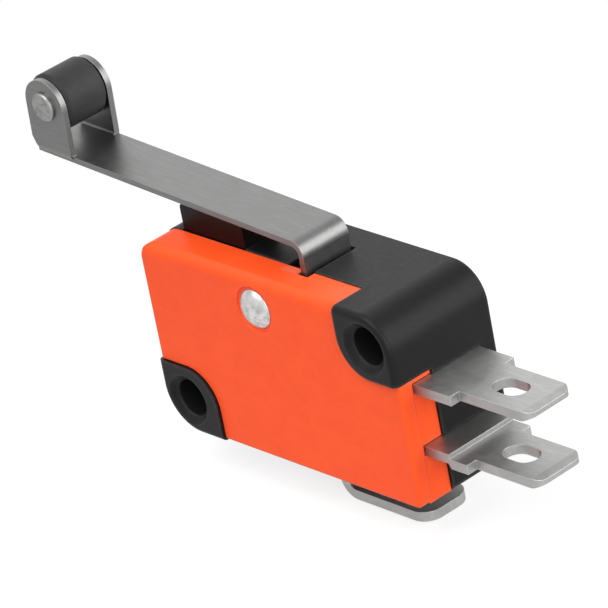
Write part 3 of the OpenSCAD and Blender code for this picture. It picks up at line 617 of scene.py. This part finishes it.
class MICROSWITCH_OT_wind_return_spring(bpy.types.Operator):
    """Wind the plunger's return spring, which rides the housing."""

    bl_idname = "microswitch.wind_return_spring"
    bl_label = "Wind Return Spring"

    def execute(self, context):
        sizes = context.scene.switch_sizes
        low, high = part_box("plunger_spring")
        wire_radius = sizes.return_wire / 2
        centre = (low + high) / 2
        coil_radius = (high.x - low.x) / 2 - wire_radius
        foot, head = low.z + wire_radius, high.z - wire_radius
        steps = sizes.return_turns * COIL_STEPS
        start = Matrix.Translation((low.x + wire_radius + 2 * coil_radius, centre.y, foot))
        upright = Matrix.Rotation(math.pi / 2, 4, "X")
        bm = bmesh.new()
        bmesh.ops.create_circle(
            bm, cap_ends=True, segments=WIRE_SIDES, radius=wire_radius, matrix=start @ upright
        )
        bmesh.ops.spin(
            bm,
            geom=bm.faces[:] + bm.edges[:] + bm.verts[:],
            cent=(low.x + wire_radius + coil_radius, centre.y, foot),
            axis=(0.0, 0.0, 1.0),
            dvec=(0.0, 0.0, (head - foot) / steps),
            angle=2 * math.pi * sizes.return_turns,
            steps=steps,
        )
        bmesh.ops.remove_doubles(bm, verts=bm.verts, dist=MERGE_DISTANCE)
        for face in bm.faces:
            # Only the wire's two flat ends have more than four corners.
            face.smooth = len(face.verts) == 4
        steel = bpy.data.materials["spring_steel"]
        piece = riding_piece("return_coil", bm, steel, "housing")
        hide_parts("plunger_spring")
        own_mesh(piece)
        return {"FINISHED"}


class MICROSWITCH_OT_wind_snap_spring(bpy.types.Operator):
    """Make the snap spring as two halves, cut at its middle."""

    bl_idname = "microswitch.wind_snap_spring"
    bl_label = "Wind Snap Spring"

    def execute(self, context):
        low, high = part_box("snap_spring")
        middle = (low + high) / 2
        hook_end = (low.x + HOOK_LENGTH, middle.y, middle.z)
        arm_end = (high.x - HOOK_LENGTH, middle.y, middle.z)
        steel = bpy.data.materials["spring_steel"]
        for name, side, bodies, start, end in (
            ("snap_coil_hook_end", 1.0, ("plunger", "housing"), hook_end, middle),
            ("snap_coil_arm_end", -1.0, ("housing", "contact_arm"), middle, arm_end),
        ):
            bm = bmesh.new()
            bm.from_mesh(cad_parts["snap_spring"].data)
            bmesh.ops.remove_doubles(bm, verts=bm.verts, dist=MERGE_DISTANCE)
            for face in bm.faces:
                face.smooth = True
            geometry = bm.verts[:] + bm.edges[:] + bm.faces[:]
            cut = bmesh.ops.bisect_plane(
                bm, geom=geometry, plane_co=middle, plane_no=(side, 0.0, 0.0), clear_outer=True
            )["geom_cut"]
            rim = [item for item in cut if isinstance(item, bmesh.types.BMEdge)]
            bmesh.ops.holes_fill(bm, edges=rim)
            piece = riding_piece(name, bm, steel, None)
            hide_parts("snap_spring")
            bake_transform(piece)
        return {"FINISHED"}


class MICROSWITCH_OT_add_cover_lip(bpy.types.Operator):
    """Make the cover's thin lip over the lever's curled eye."""

    bl_idname = "microswitch.add_cover_lip"
    bl_label = "Add Cover Lip"

    def execute(self, context):
        sizes = context.scene.switch_sizes
        pin_low, pin_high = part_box("hinge_pin")
        pivot = (pin_low + pin_high) / 2
        top = COVER_HIGH.z - LIP_SETBACK
        eye_side = [(pivot.x + x, pivot.z + z) for x, z in LIP_EYE_SIDE]
        tip, root = pivot.x + sizes.lip_reach, pivot.x + LIP_EYE_SIDE[-1][0]
        profile = ((root, top), (tip, top), (tip, pivot.z + LIP_TIP_HEIGHT), *eye_side)
        bm = bmesh.new()
        face = bm.faces.new([bm.verts.new((x, LIP_FRONT, z)) for x, z in profile])
        grown = bmesh.ops.extrude_face_region(bm, geom=[face])["geom"]
        moved = [item for item in grown if isinstance(item, bmesh.types.BMVert)]
        bmesh.ops.translate(bm, verts=moved, vec=(0.0, LIP_BACK - LIP_FRONT, 0.0))
        orange = bpy.data.materials["cover_orange"]
        riding_piece("cover_lip", bm, orange, "housing")
        return {"FINISHED"}


# ---------------------------------------------------------------- stage


def area_lamp(name, target, direction, distance, size, irradiance):
    """A square soft lamp that gives about that irradiance at its target."""
    data = bpy.data.lights.new(name, "AREA")
    data.shape = "SQUARE"
    data.size = size
    data.energy = irradiance * math.pi * distance * distance
    lamp = bpy.data.objects.new(name, data)
    bpy.context.scene.collection.objects.link(lamp)
    back = Vector(direction).normalized()
    lamp.location = target + back * distance
    lamp.rotation_mode = "QUATERNION"
    lamp.rotation_quaternion = (-back).to_track_quat("-Z", "Y")


def ray_is_any(tree, *kinds):
    """Socket that gives 1 to rays of these kinds and 0 to the rest."""
    path = tree.nodes.new("ShaderNodeLightPath")
    either = path.outputs[kinds[0]]
    for kind in kinds[1:]:
        larger = tree.nodes.new("ShaderNodeMath")
        larger.operation = "MAXIMUM"
        tree.links.new(either, larger.inputs[0])
        tree.links.new(path.outputs[kind], larger.inputs[1])
        either = larger.outputs[0]
    return either


def floor_finish(colour, reach, centre):
    """Pale floor that keeps the shadow near the switch and fades to white further off."""
    material = bpy.data.materials.new("pale_floor")
    material.use_nodes = True
    tree = material.node_tree
    tree.nodes.clear()
    new, link = tree.nodes.new, tree.links.new
    seen = ray_is_any(tree, "Is Camera Ray", "Is Glossy Ray")

    matt = new("ShaderNodeBsdfDiffuse")
    matt.inputs["Color"].default_value = (*colour, 1.0)
    strength = new("ShaderNodeMath")
    strength.operation = "MULTIPLY"
    strength.inputs[1].default_value = FLOOR_GLOW
    link(seen, strength.inputs[0])
    glow = new("ShaderNodeEmission")
    glow.inputs["Color"].default_value = WHITE
    link(strength.outputs[0], glow.inputs["Strength"])
    near = new("ShaderNodeAddShader")
    link(matt.outputs[0], near.inputs[0])
    link(glow.outputs[0], near.inputs[1])

    far = new("ShaderNodeEmission")
    far.inputs["Color"].default_value = WHITE
    link(seen, far.inputs["Strength"])

    place = new("ShaderNodeTexCoord")
    away = new("ShaderNodeVectorMath")
    away.operation = "DISTANCE"
    away.inputs[1].default_value = centre
    link(place.outputs["Object"], away.inputs[0])
    fade = new("ShaderNodeMapRange")
    fade.interpolation_type = "SMOOTHSTEP"
    fade.inputs["From Min"].default_value = reach * FADE_START
    fade.inputs["From Max"].default_value = reach * FADE_END
    link(away.outputs["Value"], fade.inputs["Value"])

    both = new("ShaderNodeMixShader")
    link(fade.outputs["Result"], both.inputs[0])
    link(near.outputs[0], both.inputs[1])
    link(far.outputs[0], both.inputs[2])
    link(both.outputs[0], new("ShaderNodeOutputMaterial").inputs["Surface"])
    return material


def make_floor(stage, reach, place):
    """The floor, a little below the lowest piece."""
    mesh = bpy.data.meshes.new("floor")
    bm = bmesh.new()
    bmesh.ops.create_grid(bm, x_segments=1, y_segments=1, size=reach * FLOOR_SIZE)
    bmesh.ops.translate(bm, verts=bm.verts, vec=place)
    bm.to_mesh(mesh)
    bm.free()
    floor = bpy.data.objects.new("floor", mesh)
    bpy.context.scene.collection.objects.link(floor)
    mesh.materials.append(floor_finish(tuple(stage.floor_colour), reach, place))


def make_world(stage):
    """Grey light on the switch, and plain white wherever the world itself is seen."""
    world = bpy.data.worlds.new("soft_room")
    world.use_nodes = True
    tree = world.node_tree
    tree.nodes.clear()
    new, link = tree.nodes.new, tree.links.new
    light = new("ShaderNodeBackground")
    light.inputs["Strength"].default_value = stage.world_strength
    seen = new("ShaderNodeBackground")
    seen.inputs["Color"].default_value = WHITE
    mixer = new("ShaderNodeMixShader")
    rays = ray_is_any(tree, "Is Camera Ray", "Is Transmission Ray", "Is Glossy Ray")
    link(rays, mixer.inputs[0])
    link(light.outputs[0], mixer.inputs[1])
    link(seen.outputs[0], mixer.inputs[2])
    link(mixer.outputs[0], new("ShaderNodeOutputWorld").inputs["Surface"])
    return world


def make_camera(stage):
    """The camera, turned, raised and rolled about a point on the switch."""
    target = Vector(
        low + share * (high - low) for low, high, share in zip(CASE_LOW, CASE_HIGH, stage.target)
    )
    level = math.cos(stage.elevation)
    x, y = math.sin(stage.azimuth) * level, -math.cos(stage.azimuth) * level
    back = Vector((x, y, math.sin(stage.elevation)))
    data = bpy.data.cameras.new("camera")
    data.sensor_width = SENSOR_WIDTH
    data.lens = stage.lens
    data.clip_start, data.clip_end = stage.distance * CLIP_NEAR, stage.distance * CLIP_FAR
    camera = bpy.data.objects.new("camera", data)
    bpy.context.scene.collection.objects.link(camera)
    place = Matrix.Translation(target + back * stage.distance)
    aim = (-back).to_track_quat("-Z", "Y").to_matrix().to_4x4()
    camera.matrix_world = place @ aim @ Matrix.Rotation(stage.roll, 4, "Z")
    return camera


class MICROSWITCH_OT_set_stage(bpy.types.Operator):
    """Make the floor, the lamps, the world and the camera."""

    bl_idname = "microswitch.set_stage"
    bl_label = "Set Stage"

    def execute(self, context):
        scene = context.scene
        stage = scene.switch_stage
        scene.view_settings.view_transform = "Standard"
        centre = (CASE_LOW + CASE_HIGH) / 2
        reach = (CAD_HIGH - CAD_LOW).length
        make_floor(stage, reach, (centre.x, centre.y, CAD_LOW.z - stage.floor_gap))
        scene.world = make_world(stage)
        for name, irradiance in (
            ("key_lamp", stage.key_strength),
            ("fill_lamp", stage.fill_strength),
            ("back_lamp", stage.back_strength),
            ("rim_lamp", stage.rim_strength),
        ):
            direction, distance, size = LAMPS[name]
            area_lamp(name, centre, direction, reach * distance, reach * size, irradiance)
        scene.camera = make_camera(stage)
        return {"FINISHED"}


# ---------------------------------------------------------------- panel and registration

STEPS = (
    MICROSWITCH_OT_finish_case,
    MICROSWITCH_OT_finish_cover,
    MICROSWITCH_OT_finish_plunger,
    MICROSWITCH_OT_finish_lever,
    MICROSWITCH_OT_finish_terminals,
    MICROSWITCH_OT_finish_rivets,
    MICROSWITCH_OT_finish_contacts,
    MICROSWITCH_OT_add_cover_lip,
    MICROSWITCH_OT_wind_return_spring,
    MICROSWITCH_OT_wind_snap_spring,
    MICROSWITCH_OT_set_stage,
)


class MICROSWITCH_PT_panel(bpy.types.Panel):
    """Sidebar panel that lists the switch's sizes, colours and steps."""

    bl_idname = "MICROSWITCH_PT_panel"
    bl_label = "Lever Micro Switch"
    bl_space_type = "VIEW_3D"
    bl_region_type = "UI"
    bl_category = "Micro Switch"

    def draw(self, context):
        scene = context.scene
        for group in (scene.switch_colours, scene.switch_sizes, scene.switch_stage):
            box = self.layout.box()
            for name in group.__annotations__:
                box.prop(group, name)
        for step in STEPS:
            self.layout.operator(step.bl_idname)


CLASSES = (SwitchColours, SwitchSizes, SwitchStage, *STEPS, MICROSWITCH_PT_panel)


def register():
    for cls in CLASSES:
        bpy.utils.register_class(cls)
    bpy.types.Scene.switch_colours = bpy.props.PointerProperty(type=SwitchColours)
    bpy.types.Scene.switch_sizes = bpy.props.PointerProperty(type=SwitchSizes)
    bpy.types.Scene.switch_stage = bpy.props.PointerProperty(type=SwitchStage)


def unregister():
    del bpy.types.Scene.switch_stage
    del bpy.types.Scene.switch_sizes
    del bpy.types.Scene.switch_colours
    for cls in reversed(CLASSES):
        bpy.utils.unregister_class(cls)


def main():
    """Runs every step in order."""
    register()
    for step in STEPS:
        group, name = step.bl_idname.split(".")
        getattr(getattr(bpy.ops, group), name)()


if __name__ == "__main__":
    main()
